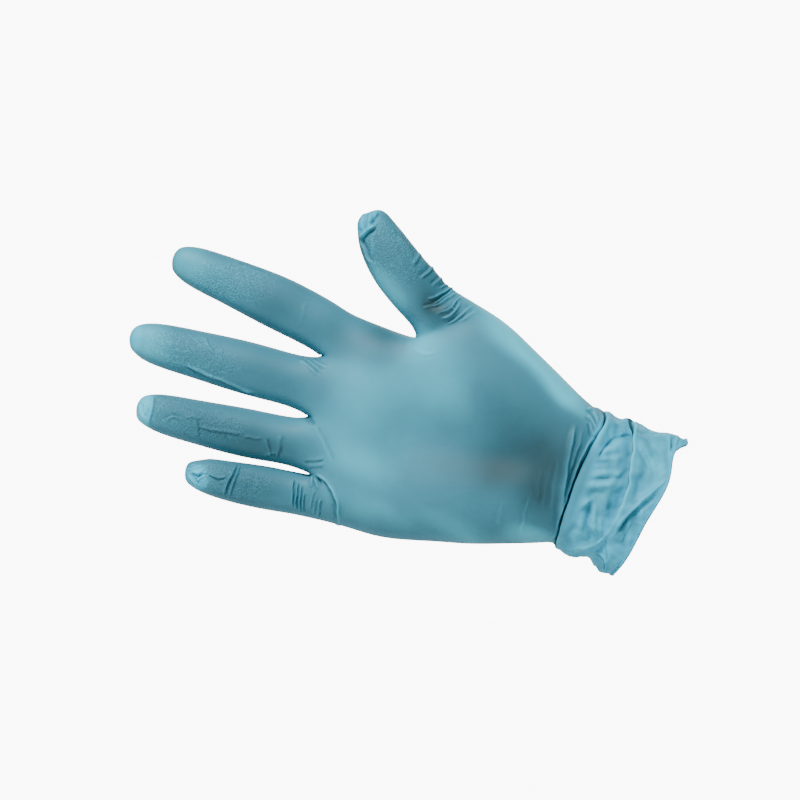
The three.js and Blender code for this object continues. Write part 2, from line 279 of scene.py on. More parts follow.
def alongLine(flat, line):  # share along the line, distance with its side as sign, and direction
    best = np.full(len(flat), 1e9)
    share = np.zeros(len(flat))
    signed = np.zeros(len(flat))
    heading = np.zeros((len(flat), 2))
    lengths = np.linalg.norm(np.diff(line, axis=0), axis=1)
    start = np.concatenate([[0], np.cumsum(lengths)])
    for i, length in enumerate(lengths):
        way = (line[i + 1] - line[i]) / length
        reach = np.clip((flat - line[i]) @ way, 0, length)
        gap = flat - line[i] - reach[:, None] * way
        away = np.linalg.norm(gap, axis=1)
        closer = away < best
        side = np.sign(way[0] * gap[:, 1] - way[1] * gap[:, 0])
        best[closer] = away[closer]
        signed[closer] = (side * away)[closer]
        share[closer] = (start[i] + reach[closer]) / start[-1]
        heading[closer] = way
    return share, signed, heading


def thinOut(piece, chosen, ratio):  # keeps this share of the chosen faces
    group = piece.vertex_groups.new(name="thin")
    group.add([int(i) for i in np.flatnonzero(chosen)], 1.0, "REPLACE")
    applyModifier(piece, "DECIMATE", ratio=ratio, vertex_group="thin", vertex_group_factor=100.0)
    piece.vertex_groups.clear()


def refine(shell, rows, reach, loose=False):  # halves the front's faces near the folds
    middles = faceMiddles(shell)
    flat = middles[:, [0, 2]]
    chosen = np.zeros(len(middles), bool)
    for row in rows:
        line = rounded(row[-1])
        low, high = line.min(axis=0) - reach, line.max(axis=0) + reach
        near = np.flatnonzero(((flat > low) & (flat < high)).all(axis=1))
        near = near[middles[near, 1] < film["frontBelow"]]
        chosen[near[np.abs(alongLine(flat[near], line)[1]) < reach]] = True
    if loose:
        chosen |= (middles[:, 0] > film["looseFrom"]) & (middles[:, 1] < film["looseBelow"])
    pickFaces(shell, chosen)
    bpy.ops.mesh.subdivide(number_cuts=1)
    bpy.ops.mesh.vertices_smooth(factor=0.5, repeat=1)
    bpy.ops.object.mode_set(mode="OBJECT")
    print("refined:", len(shell.data.polygons), "faces")


# Wrinkles and folds. Each has its side, its ridge's lift and width, the dip beside it and how far
# off that lies (plus is the left of the line), how far the ridge leans over, all in mm, and its line.
thumbFolds = [
    ("front", 1.0, 0.55, 0.0, 0.0, -0.2, [
        (-117.4, 67.4), (-116.2, 70), (-114.8, 72), (-113.4, 73.2), (-112.4, 74.8),
    ]),
    ("front", 0.0, 0.35, 0.35, 0.0, 0.0, [
        (-116.2, 67.4), (-115.1, 69.6), (-113.8, 71.2), (-112.4, 72.4), (-111.4, 74),
    ]),
    ("front", 0.3, 0.6, 0.0, 0.0, 0.0, [(-112.4, 74.2), (-111.8, 72), (-111.4, 69.6)]),
    ("front", 0.0, 0.8, 0.7, 0.0, 0.0, [(-115, 73.4), (-114, 76), (-113, 78.4), (-112.4, 81)]),
    ("front", 0.35, 0.8, 0.45, 1.4, 0.0, [(-118.4, 79), (-118.4, 75), (-117.8, 70.6)]),
    ("front", 0.3, 0.8, 0.25, 1.2, 0.0, [(-116.2, 79), (-115.8, 77), (-115.2, 74.6)]),
    ("front", 0.4, 0.5, 0.6, 0.9, 0.0, [(-117.6, 68), (-114.6, 63.6), (-112, 61), (-109.6, 58.8)]),
    ("front", 0.3, 0.7, 0.0, 0.0, 0.0, [(-113, 71.4), (-111.8, 66), (-109.5, 61)]),
    ("front", 0.2, 0.8, 0.2, 1.4, 0.0, [(-103, 72.8), (-98, 69.8), (-94, 66)]),
    ("front", 0.3, 0.8, 0.2, -1.2, 0.0, [(-93.4, 63.6), (-92.4, 66), (-92, 69)]),
    ("front", 0.45, 0.55, 0.45, 1.1, 0.0, [(-88.8, 58.8), (-87.2, 61), (-86, 62.8), (-84.8, 65.4)]),
    ("front", 0.3, 0.6, 0.35, 1.1, 0.0, [(-83.6, 57.6), (-81.6, 60), (-79.8, 63)]),
    ("front", 0.25, 0.4, 0.3, 0.8, 0.0, [(-80, 57.6), (-78.2, 59.2), (-76.6, 60.6)]),
    ("front", 0.75, 0.4, 0.0, 0.0, 0.0, [(-83.2, 51.2), (-80, 54.4), (-77, 57), (-74.8, 59.4)]),
    ("front", 0.0, 0.35, 0.15, 0.0, 0.0, [(-82, 50.8), (-79.4, 53.6), (-76.8, 56.2), (-74.4, 59)]),
    ("front", 0.5, 0.4, 0.0, 0.0, 0.0, [(-80.6, 50.6), (-78.4, 53.2), (-76, 55.6), (-73.4, 59)]),
    ("front", 0.6, 0.4, 0.15, -0.8, 0.0, [(-80.6, 48.8), (-77.6, 52), (-75.2, 54.6), (-72.6, 58)]),
    ("front", 0.7, 0.4, 0.25, 0.8, 0.0, [
        (-78, 46.2), (-75.2, 49), (-73, 52), (-71.4, 55), (-70.4, 57.4),
    ]),
    ("front", 0.6, 0.4, 0.3, 0.8, 0.0, [(-75.6, 45), (-73, 47.6), (-71, 51), (-69.6, 54.6)]),
    ("front", 0.4, 0.4, 0.35, 0.9, 0.0, [(-72.6, 43.8), (-70, 47), (-67.2, 51), (-65, 55)]),
    ("front", 0.25, 0.5, 0.25, 1.0, 0.0, [(-68, 46), (-65, 50), (-62.6, 54)]),
    ("front", 0.25, 0.5, 0.25, 1.0, 0.0, [(-84, 47.5), (-81, 49), (-79.5, 51)]),
    ("back", 0.4, 0.8, 0.4, -1.5, 0.0, [(-80, 54), (-77, 57), (-75, 60)]),
    ("back", 0.4, 0.8, 0.4, -1.5, 0.0, [(-88, 57), (-86, 61), (-84.5, 65)]),
]
indexFolds = [
    ("front", 0.12, 0.5, 0.3, 0.8, 0.0, [(-163, 42.7), (-157, 42.5), (-150, 42.3)]),
    ("front", 0.15, 0.5, 0.0, 0.8, 0.0, [(-131, 36), (-130.6, 31), (-131, 24)]),
]
middleFolds = [
    ("front", 0.4, 0.4, 0.2, 0.8, 0.0, [(-168, 9.8), (-164.5, 6.8), (-161, 4.8)]),
    ("front", 0.2, 0.4, 0.15, 0.7, 0.0, [(-161, 9), (-157.5, 5), (-157, -3)]),
    ("front", 0.55, 0.45, 0.5, -1.1, 0.0, [(-173, -3.6), (-160, -4.6), (-148, -5.6), (-138, -6.6)]),
    ("front", 0.5, 0.5, 0.6, 1.0, 0.0, [(-127, 12.6), (-122.5, 11), (-117.5, 8.2)]),
    ("front", 0.45, 0.45, 0.5, 1.0, 0.0, [(-124.5, 13.4), (-120.5, 12), (-116.5, 10.2)]),
    ("front", 0.3, 0.45, 0.3, 1.0, 0.0, [(-122, 14), (-118, 13.2), (-114.5, 12.6)]),
]
ringFolds = [
    ("front", 0.4, 0.5, 0.3, -1.0, 0.0, [(-180.5, -19.5), (-179, -23.5), (-178.8, -27.5), (-178, -32)]),
    ("front", 0.35, 0.5, 0.4, 0.9, 0.0, [(-184.5, -24), (-183, -27), (-181, -30)]),
    ("front", 0.3, 0.5, 0.3, 0.9, 0.0, [(-183, -22.5), (-181.5, -25), (-180.8, -28)]),
    ("front", 0.35, 0.4, 0.1, -0.8, 0.0, [
        (-165, -24.2), (-162.6, -23.0), (-160, -23.3), (-157.5, -22.4),
    ]),
    ("front", 0.4, 0.4, 0.25, 0.8, 0.0, [
        (-172, -28), (-171.4, -25.8), (-169.2, -25.2), (-166.5, -25.9),
    ]),
    ("front", 0.4, 0.4, 0.4, 0.8, 0.0, [
        (-160.6, -24.2), (-158.8, -26.6), (-158.6, -28.4), (-157.2, -30.4),
    ]),
    ("front", 0.45, 0.4, 0.06, -0.8, 0.0, [
        (-159, -26.8), (-155.6, -25.5), (-151, -25.6), (-147, -24.5), (-142.4, -24.2), (-140, -22.8),
    ]),
    ("front", 0.35, 0.4, 0.08, -0.8, 0.0, [
        (-139.6, -25.2), (-137, -23.4), (-134.4, -23.9), (-131.6, -22.2),
    ]),
    ("front", 0.35, 0.5, 0.4, 0.9, 0.0, [(-131, -22.5), (-129.4, -25), (-126.5, -29.8)]),
    ("front", 0.4, 0.45, 0.4, 1.0, 0.0, [(-125.2, -19.4), (-124.8, -23), (-123.8, -26), (-124.4, -30)]),
    ("front", 0.3, 0.5, 0.35, -1.0, 0.0, [(-129, -30), (-126.6, -27.6), (-124.8, -27)]),
    ("front", 0.2, 0.6, 0.3, 1.2, 0.0, [(-113.5, -11.5), (-108.5, -16), (-104, -20.6), (-101, -25)]),
    ("front", 0.35, 0.5, 0.35, -1.0, 0.0, [(-113, -26.7), (-109, -25.4), (-105.6, -23)]),
    ("front", 0.35, 0.5, 0.35, -1.0, 0.0, [(-111.4, -29), (-107.6, -27.2), (-104.4, -25.8)]),
    ("front", 0.0, 1.0, 0.6, 0.0, 0.0, [(-118.4, -8.6), (-116, -9.6), (-113, -11.4)]),
]
littleFolds = [
    ("front", 0.5, 0.6, 0.5, 1.0, 0.0, [(-157.5, -45), (-155, -42.8), (-152, -40.8)]),
    ("front", 0.5, 0.6, 0.6, 1.0, 0.0, [(-156.5, -46.5), (-154, -48), (-152, -50)]),
    ("front", 0.5, 0.6, 0.5, -1.0, 0.0, [(-155.5, -44.5), (-152.5, -44.6), (-150.5, -43)]),
    ("front", 0.35, 0.5, 0.4, 1.0, 0.0, [(-152.5, -48), (-151, -45.5), (-149.5, -42.5)]),
    ("front", 0.35, 0.45, 0.3, -0.9, 0.0, [(-149, -43.6), (-145, -44), (-141.5, -42.6)]),
    ("front", 0.55, 0.45, 0.5, 1.0, 0.0, [(-138.4, -35.8), (-139.8, -40), (-140.5, -45), (-140, -51)]),
    ("front", 0.5, 0.4, 0.3, 0.9, 0.0, [(-137.2, -36.2), (-138, -41), (-138.3, -46), (-138, -50.5)]),
    ("front", 0.55, 0.38, 0.5, 0.8, 0.0, [(-114.4, -35), (-114.2, -39), (-113, -43), (-110.8, -47.4)]),
    ("front", 0.55, 0.38, 0.5, 0.8, 0.0, [
        (-112.6, -35.6), (-112.2, -39.8), (-111.2, -43.8), (-109.4, -48),
    ]),
    ("front", 0.5, 0.36, 0.45, 0.8, 0.0, [
        (-110.8, -36.4), (-110.4, -40.4), (-109.4, -44.4), (-108, -48.6),
    ]),
    ("front", 0.5, 0.36, 0.45, 0.8, 0.0, [(-108.9, -39.5), (-108.3, -43.5), (-107, -48.2)]),
    ("front", 0.3, 0.36, 0.25, 0.8, 0.0, [(-105.3, -37), (-105, -41), (-104.4, -45.4)]),
    ("front", 0.3, 0.36, 0.25, 0.8, 0.0, [(-103.4, -40), (-103.2, -44), (-102.6, -47.4)]),
    ("front", 0.45, 0.36, 0.4, 0.8, 0.0, [(-101.6, -40), (-101, -44), (-100.2, -48)]),
    ("front", 0.45, 0.4, 0.4, 0.9, 0.0, [(-107, -31.5), (-105.2, -33.6), (-103.4, -36.4)]),
    ("front", 0.4, 0.4, 0.4, 0.9, 0.0, [(-107.8, -31.8), (-107, -34.4), (-106.6, -37)]),
    ("front", 0.4, 0.45, 0.35, -1.0, 0.0, [(-106.6, -31.4), (-104.6, -31.6), (-102, -33.6)]),
    ("front", 0.6, 0.45, 0.4, -1.1, 0.0, [
        (-107.4, -30.4), (-102.5, -31.8), (-98, -34.8), (-95, -38.8), (-93, -43.6), (-91.6, -50),
    ]),
    ("front", 0.45, 0.45, 0.3, -0.9, 0.0, [(-100.5, -32.8), (-96, -36), (-93.2, -41), (-90.6, -50)]),
    ("back", 0.4, 0.8, 0.4, 1.5, 0.0, [(-108, -34), (-107, -41), (-107, -48)]),
    ("back", 0.4, 0.8, 0.5, 1.5, 0.0, [(-103, -32), (-95, -38), (-91, -47)]),
    ("back", 0.4, 0.8, 0.4, 1.5, 0.0, [(-138, -35), (-139.5, -43), (-140, -51)]),
]
palmFolds = [
    ("front", 0.3, 0.45, 0.0, 0.8, 0.0, [(-83.5, 31), (-80, 29.8), (-76.5, 29.6), (-73.6, 31.8)]),
    ("front", 0.25, 0.45, 0.25, -0.9, 0.0, [(-20, -13), (-19.4, -21), (-18.6, -30)]),
    ("front", 0.2, 0.5, 0.2, -0.9, 0.0, [(-30, -18), (-29.4, -24), (-28.6, -30)]),
    ("front", 0.15, 0.7, 0.1, -1.3, 0.0, [(-15.5, 0), (-14.5, -8), (-13, -18)]),
    ("front", 0.15, 0.7, 0.1, -1.3, 0.0, [(-12.5, 4), (-11.6, -6), (-9, -17)]),
    ("front", 0.15, 0.7, 0.1, -1.3, 0.0, [(-18.5, -2), (-17.6, -8), (-16.6, -14)]),
]
cuffFolds = [
    ("front", 0.5, 1.2, 0.0, 0.0, -0.3, [
        (2.2, 29), (2.6, 26), (1.8, 20), (0, 12), (-1.4, 2), (-2.2, -8), (-2.4, -18), (-1.6, -30),
        (-1.4, -36),
    ]),
    ("front", 0.0, 0.4, 1.4, 0.0, 0.0, [
        (-5, 36), (-2.6, 30.8), (0.2, 29), (1.3, 26.4), (0.8, 22), (-0.4, 18), (-1.9, 12), (-3.2, 2),
        (-3.8, -8), (-4.0, -18), (-3.4, -28), (-3.0, -37),
    ]),
    ("front", 0.4, 0.4, 0.0, 0.0, 0.2, [
        (-0.6, 27.2), (0, 25.4), (-0.5, 21.6), (-1.7, 17.6), (-3.2, 12), (-4.5, 2), (-5.0, -8),
        (-5.1, -18), (-4.5, -30),
    ]),
    ("front", 0.9, 0.75, 0.1, -2.0, 0.0, [
        (-10, 22), (-9.8, 15), (-9.4, 9), (-8.6, 2), (-7.1, -6), (-5.8, -12), (-4.8, -21),
    ]),
    ("front", 0.2, 0.6, 0.0, 0.0, 0.0, [(-6.2, 20), (-6.4, 13), (-6.8, 6), (-6.6, 0)]),
    ("front", 0.0, 1.2, 0.25, 0.0, 0.0, [(-5.0, 14), (-5.4, 6), (-5.4, 0), (-5, -7)]),
    ("front", 0.4, 0.5, 0.5, -1.0, 0.0, [(-6.5, 25.6), (-4, 24), (-0.8, 20.6)]),
    ("front", 0.4, 0.5, 0.4, -1.0, 0.0, [(-7, 28.4), (-4, 27.2), (-0.8, 24.4)]),
    ("front", 0.3, 0.5, 0.4, -1.0, 0.0, [(-5, 22.8), (-3, 20.8), (-1.2, 17.4)]),
    ("front", 0.0, 0.6, 0.6, 0.0, 0.0, [(2.6, 9), (4.2, 15.4), (7, 19.6), (10, 21.4), (13.4, 24)]),
    ("front", 0.15, 0.35, 0.35, -0.7, 0.0, [(8.6, 21.6), (10.4, 22.8), (12.6, 22)]),
    ("front", 0.1, 0.35, 0.35, -0.7, 0.0, [(9.8, 23.6), (11.4, 23.2), (12.4, 24.6)]),
    ("front", 0.8, 0.6, 0.0, 0.0, -0.3, [
        (13.6, 30), (14.2, 27), (15.0, 22), (16.8, 16.4), (18.2, 9), (19, 1), (18.8, -7), (17.6, -14),
        (15.8, -19.5), (12.8, -23.6), (8, -26.8), (3, -29),
    ]),
    ("front", 0.0, 0.5, 1.2, 0.0, 0.0, [
        (7, 35), (9.6, 29.8), (11.8, 28.8), (13, 26.6), (14.2, 22), (15.8, 16.4), (17.2, 9), (18, 2),
    ]),
    ("front", 0.3, 0.45, 0.3, -0.9, 0.0, [(17.4, 18.6), (20, 16), (23, 13.4), (24.8, 10.6)]),
    ("front", 0.45, 0.6, 0.0, 0.0, 0.0, [
        (33, 11), (28.6, 4), (25.4, -1), (22.4, -6), (20.4, -10), (18.8, -14), (17.6, -18),
    ]),
    ("front", 0.0, 0.9, 0.35, 0.0, 0.0, [
        (30, 1.4), (26.2, -4), (23.2, -8), (21, -12), (19.4, -17), (18.6, -21),
    ]),
    ("front", 0.3, 0.7, 0.0, 0.0, 0.0, [(23.4, -11), (22, -16), (21.6, -21)]),
    ("front", 0.5, 0.35, 0.4, -0.9, 0.0, [(13.4, -26.8), (16.4, -28), (18.8, -31), (20.4, -35.4)]),
    ("front", 0.3, 0.4, 0.3, -0.9, 0.0, [(16.6, -23.6), (18, -27), (19.6, -30)]),
    ("front", 0.4, 0.6, 0.8, -1.2, 0.0, [(11, -29.6), (13.4, -31), (15.6, -34)]),
    ("front", 0.4, 0.6, 0.3, 1.2, 0.0, [(28.6, 28), (29.4, 23.6), (31.8, 18), (33.4, 13)]),
    ("front", 0.3, 0.6, 0.35, -1.1, 0.0, [(32.6, 30), (32, 26.4), (31.6, 23), (32, 19)]),
    ("back", 0.9, 1.9, 0.0, 0.0, -0.6, [
        (0.4, 32), (3, 26), (3.2, 14), (1.6, 2), (0.4, -10), (-0.2, -20), (0, -32),
    ]),
    ("back", 0.0, 0.7, 1.6, 0.0, 0.0, [
        (-2.2, 32), (0.6, 26), (0.8, 14), (-0.8, 2), (-2.2, -10), (-2.8, -20), (-2.6, -32),
    ]),
    ("back", 0.5, 0.8, 0.0, 0.0, -0.4, [
        (10.4, 31), (14.4, 24), (17.4, 14), (18.4, 4), (17.4, -8), (14.4, -19), (11.4, -29),
    ]),
    ("back", 0.4, 1.8, 0.0, 0.0, 0.0, [(33, 18), (28, 9), (24.4, 0), (21, -12)]),
    ("back", 0.35, 1.0, 0.5, -1.7, 0.0, [(4, 20), (8, 15), (12, 13)]),
    ("back", 0.35, 1.1, 0.5, -1.9, 0.0, [(3, 8), (8, 5), (14, 6)]),
    ("back", 0.35, 1.1, 0.5, -1.9, 0.0, [(3, -4), (7, -8), (13, -8)]),
    ("back", 0.3, 1.0, 0.5, 1.7, 0.0, [(4, -14), (8, -19), (9, -26)]),
    ("back", 0.3, 1.4, 0.4, -2.4, 0.0, [(20, -22), (24, -14), (29, -8)]),
    ("back", 0.25, 1.2, 0.25, 2.2, 0.0, [(-7, 22), (-6, 6), (-4.6, -12)]),
]

# Edges where one part of the film lies over another: side, height, softness and reach in mm, and
# their line. The left of the line is the higher side.
laps = [
    ("front", 0.55, 0.35, 3.2, [
        (-4, 36), (-1.8, 31), (0.8, 28.8), (1.7, 26), (1.3, 22), (0.2, 18), (-1.4, 12), (-2.8, 2),
        (-3.4, -8), (-3.6, -18), (-3.0, -28), (-2.6, -37),
    ]),
    ("front", 1.0, 0.35, 3.0, [
        (8, 35), (10.4, 30.4), (12.6, 28.6), (13.6, 26), (14.7, 22), (16.3, 16.4), (17.7, 9), (18.6, 1),
        (18.4, -7), (17.4, -14),
    ]),
    ("front", -0.5, 0.6, 3.0, [
        (30.8, 5), (27.6, 0.6), (24.2, -4), (21.6, -8.6), (19.8, -13), (18.4, -18),
    ]),
    ("front", 0.3, 0.4, 2.0, [
        (-107, -30.6), (-102.5, -31.8), (-98, -34.8), (-95, -38.8), (-93, -43.6), (-91.8, -48.4),
    ]),
    ("front", 0.3, 0.4, 1.8, [
        (-117.2, 67.2), (-115.9, 69.9), (-114.5, 71.7), (-113.2, 72.7), (-112.2, 74.4),
    ]),
    ("front", -0.4, 0.4, 2.0, [(-180.5, -19.5), (-179, -23.5), (-178.8, -27.5), (-178, -32)]),
    ("back", 0.5, 0.6, 3.2, [
        (-1.6, 32), (1, 26), (1.2, 14), (-0.4, 2), (-1.8, -10), (-2.4, -20), (-2.2, -32),
    ]),
    ("back", 0.9, 0.5, 3.0, [
        (9.8, 31), (13.8, 24), (16.8, 14), (17.8, 4), (16.8, -8), (13.8, -19), (10.8, -29),
    ]),
    ("back", -0.6, 1.2, 3.4, [(34, 18), (29, 9), (25.4, 0), (22, -12)]),
]

# Broad swells and hollows: side, lift, half length and half height in mm, x, z and turn.
swells = [
    ("front", -0.7, 6.0, 4.0, -80, 50, 45),
    ("front", 0.5, 2.6, 3.6, -118, 76, 0),
    ("front", 0.4, 3.0, 4.0, -182, -26, 0),
    ("front", 0.4, 2.6, 3.0, -154, -46, 0),
    ("front", 0.7, 4.0, 1.3, 6.2, 14.8, 32),
    ("front", 0.5, 3.6, 1.3, 9.8, 18, 36),
    ("front", -0.6, 4.4, 1.1, 7.6, 12.6, 30),
    ("front", 0.8, 3.4, 1.1, 5.6, 10.6, 24),
    ("front", -0.5, 3.0, 0.9, 6.2, 8.6, 24),
    ("front", 0.5, 2.4, 0.9, 4.6, 7.2, 18),
    ("front", 0.8, 4.6, 1.2, 7.4, 4.8, 20),
    ("front", -1.1, 5.0, 0.9, 7.4, 2.2, 20),
    ("front", 0.9, 5.6, 1.5, 8.4, -0.3, 20),
    ("front", 0.7, 3.5, 1.4, 12.4, 5.6, 55),
    ("front", -0.6, 4.0, 1.6, 5.4, -4.4, 30),
    ("front", 0.8, 3.8, 1.2, 3.2, -9.4, 52),
    ("front", -1.1, 4.4, 1.1, 5.6, -12.6, -80),
    ("front", 0.9, 4.6, 1.2, 8.0, -13.6, -72),
    ("front", -0.8, 3.4, 1.2, 8.2, -20.2, -60),
    ("front", 0.7, 3.8, 1.3, 3.4, -17.6, -80),
    ("front", -0.8, 3.4, 1.2, 1.2, -22, 76),
    ("front", 0.6, 3.6, 1.3, 11.6, -16.4, -66),
    ("front", -0.6, 3.6, 1.4, 13.4, -9, -75),
    ("front", 1.1, 7.0, 1.5, 9.4, -25.2, 36),
    ("front", -0.6, 3.6, 1.4, 1.6, -27.4, -40),
    ("front", -0.5, 4.0, 1.4, 20.6, 14, -48),
    ("front", 0.6, 5.0, 2.0, 20, 19, -40),
    ("front", -0.6, 4.6, 1.6, 20.8, 3, -80),
    ("front", 0.5, 5.0, 2.4, 26, 13, 0),
    ("front", 0.7, 7.0, 1.6, 26.4, -7.6, -66),
    ("front", -0.7, 6.4, 1.6, 21.8, -15, -74),
    ("front", 0.5, 6.0, 1.2, 24.6, -20, -72),
    ("back", 0.8, 4.0, 7.0, 9, 10, 0),
    ("back", 0.8, 4.0, 7.0, 9, -12, 0),
    ("back", 0.6, 4.0, 7.0, 25, 12, 0),
]

# Lines of the outline that move in or out: the way they face, their reach in mm, and their points
# as x, z and how far each moves outwards.
outlineFits = [
    ("low", 5, [
        (-192, 31, 0), (-186, 30, 1.2), (-160, 25.2, 1.3), (-140, 22, 1.3), (-121, 18, 1.2),
        (-115, 16.6, 1.0), (-112, 15, 0),
    ]),
    ("low", 5, [
        (-199, -3, 0), (-192, -5.5, 1.2), (-187, -6.4, 1.7), (-160, -7.8, 1.8), (-130, -7, 1.8),
        (-118, -8, 1.0), (-112, -8, 0),
    ]),
    ("low", 5, [
        (-188, -28, 0), (-180, -32, 1.4), (-150, -33, 1.3), (-130, -31.6, 1.3), (-118, -30.6, 0.8),
        (-108, -30.4, 0),
    ]),
    ("low", 6, [
        (-160, -47, 0), (-154, -51, 1.0), (-140, -52, 2.2), (-125, -51, 1.6), (-108, -49.2, 1.2),
        (-92, -47.8, 1.0), (-84, -47.6, 1.4), (-72, -47.5, 1.9), (-60, -45, 1.2), (-50, -42.2, 0.7),
        (-36, -38.6, 1.1), (-20, -34, 0.9), (-8, -31, 0.6), (-4, -30, 0),
    ]),
    ("low", 4, [(0, -31.6, 0), (4, -32.4, 0.8), (8, -32, 1.0), (12, -31, 0.8), (16, -33, 0)]),
    ("low", 4, [
        (-121, 72, 0), (-117, 66.5, 0.8), (-112, 59, 1.0), (-106, 52.8, 1.3), (-100, 48.2, 1.5),
        (-95, 45.3, 1.2), (-90, 43, 0.3), (-86, 41, -0.8), (-83, 37.5, -0.6), (-81, 35, 0),
    ]),
    ("high", 3.5, [
        (-120, 79, 0), (-116, 81, 0.6), (-111, 81, 0.4), (-106, 78.4, -0.8), (-102, 75.4, -1.0),
        (-97, 72.4, -0.9), (-91, 68, -0.2), (-86, 65, 1.0), (-82, 63.4, 1.8), (-78, 61.4, 1.6),
        (-72, 59.4, 1.6), (-66, 57.2, 0.8), (-56, 54.6, 0.5), (-44, 49.6, 0.6), (-30, 42, 0.8),
        (-16, 35, 1.0), (-8, 31, 0.7), (-4, 30, 0),
    ]),
    ("high", 5, [
        (-172, 45.2, 0), (-156, 44.3, 0.4), (-140, 43, 0.9), (-125, 39.8, 0.8), (-112, 36.6, 0.7),
        (-95, 35.2, 0.6), (-85, 35.2, 0.6), (-81, 35.6, 0),
    ]),
    ("high", 4, [(1, 29, 0), (5, 28.6, 0.6), (8, 28.6, 0.6), (12, 29.2, 0.2), (16, 28.0, 0)]),
    ("high", 1.7, [(-4.6, 29.4, 0), (-2.2, 29.8, 1.1), (0.2, 29, 0)]),
    ("high", 1.7, [(8.6, 28.6, 0), (11.2, 28.8, 1.1), (13.4, 28.2, 0)]),
    ("high", 4, [(20, 27.2, 0), (26, 28, 0.8), (31, 28.2, 0.4), (34, 28, -0.2), (38, 27.4, -0.9)]),
    ("low", 4, [(15, -33.6, 0), (18, -35, -0.5), (22.4, -36, -1.6), (26, -34, -0.6)]),
    ("high", 3, [(-160, -40.8, 0), (-155, -39.6, -0.8), (-150, -38.4, 0)]),
    ("tip", 5, [(-118, 80, 0), (-121, 75, 0.5), (-118, 70, 0)]),
    ("tip", 4, [(-195, 7, 0), (-197, 1, 0.4), (-194, -5, 0)]),
]


def patch(flat, halfX, halfZ, x, z, turn):  # squared distance in radii of a turned oval
    c, s = math.cos(math.radians(turn)), math.sin(math.radians(turn))
    dx, dz = flat[:, 0] - x, flat[:, 1] - z
    return ((dx * c + dz * s) / halfX) ** 2 + ((dz * c - dx * s) / halfZ) ** 2


def sideShare(normals, side):  # 1 where the film faces this side, 0 where it faces away
    facing = -normals[:, 1] if side == "front" else normals[:, 1]
    return smoothStep(*film["sideEdge"], facing)


def wander(places, scale, seed):  # a slow drift that keeps lines from being too even
    shift = Vector((seed, seed * 1.7, -seed))
    return np.array([noise.noise(Vector(p) * scale + shift) for p in places])


def fitOutline(shell):  # moves the outline as its table says
    places = pointsOf(shell)
    normals = normalsOf(shell)
    flat = places[:, [0, 2]]
    lift = np.zeros(len(places))
    ways = {"low": -normals[:, 2], "high": normals[:, 2], "tip": -normals[:, 0]}
    for facing, reach, points in outlineFits:
        line = rounded(points)
        start = np.concatenate([[0], np.cumsum(np.linalg.norm(np.diff(line[:, :2], axis=0), axis=1))])
        share, away = alongLine(flat, line[:, :2])[:2]
        height = np.interp(share, start / start[-1], line[:, 2])
        lift += height * bell(away, reach) * smoothStep(*film["outlineEdge"], ways[facing])
    movePoints(shell, places + normals * lift[:, None])
    print("outline fitted")


def sculptFolds(shell):
    places = pointsOf(shell)
    normals = normalsOf(shell)
    calm = 1 - film["calm"] * smoothStep(*film["calmEdge"], places[:, 0])
    drift = np.column_stack([wander(places, *waves["lineX"]), wander(places, *waves["lineZ"])])
    drift *= film["drift"]
    drift *= calm[:, None]
    flat = places[:, [0, 2]] + drift
    vary = 1 + film["vary"] * wander(places, *waves["height"])
    lift = np.zeros(len(places))
    shadingAndTone = np.zeros(len(places))
    lean = np.zeros((len(places), 2))
    sides = {"front": sideShare(normals, "front"), "back": sideShare(normals, "back")}
    level = smoothStep(*film["levelEdge"], np.abs(normals[:, 1]))

    def reached(points, reach):  # the points near a line, and how they lie to it
        line = rounded(points)
        low, high = line.min(axis=0) - reach, line.max(axis=0) + reach
        near = np.flatnonzero(((flat > low) & (flat < high)).all(axis=1))
        share, away, heading = alongLine(flat[near], line)
        length = np.linalg.norm(np.diff(line, axis=0), axis=1).sum()
        ends = min(film["fadeShare"], film["fade"] / length)
        fade = smoothStep(0, ends, share) * smoothStep(0, ends, 1 - share)
        return near, away, heading, fade

    for side, ridge, width, dip, off, over, points in allFolds:
        near, away, heading, fade = reached(points, film["foldTail"] * width + abs(off))
        weight = sides[side][near] * fade * vary[near]
        crest = bell(away, width) * weight
        hollow = bell(away - off, width * film["dipWidth"]) * weight
        lift[near] += film["foldHeight"] * (ridge * crest - dip * hollow * level[near])
        # painted highlight along the ridge and painted shade in the dip beside it
        shadingAndTone[near] += film["foldShading"] * (ridge * crest - film["dipShading"] * dip * hollow)
        lean[near] += np.column_stack([-heading[:, 1], heading[:, 0]]) * (over * crest)[:, None]
    light, lightPlace, lightWidth = film["lapHighlight"]
    dark, darkPlace, darkWidth = film["lapShadow"]
    for side, height, soft, reach, points in laps:
        near, away, heading, fade = reached(points, film["lapTail"] * reach)
        weight = sides[side][near] * fade
        lift[near] += height * np.tanh(away / soft) * bell(away, reach) * weight * level[near]
        foot = away * np.sign(height)
        # painted highlight on the lap's edge and painted shadow at its foot
        edge = light * bell(foot - lightPlace, lightWidth) - dark * bell(foot - darkPlace, darkWidth)
        shadingAndTone[near] += abs(height) * weight * edge
    loosePart = smoothStep(*film["looseEdge"], places[:, 0])
    for side, height, *where in swells:
        swell = height * np.exp(-patch(flat, *where)) * sides[side]
        lift += swell
        # swells are painted paler as light and hollows darker as shade on the loose film
        shadingAndTone += film["swellShading"] * swell * loosePart
    slow = film["slow"] * wander(places, *waves["slow"])
    lift += loosePart * (slow + film["quick"] * wander(places, *waves["quick"]))
    shadingAndTone += loosePart * film["uneven"] * wander(places, *waves["uneven"])
    places += normals * lift[:, None]
    places[:, [0, 2]] += lean
    movePoints(shell, places)
    # the attribute holds the painted light and shade of the folds, laps and swells, and the loose
    # film's uneven colour
    layer = shell.data.attributes.new("fold", "FLOAT", "POINT")
    layer.data.foreach_set("value", np.clip(shadingAndTone, -1, 1).astype(np.float32))
    print("folds sculpted")


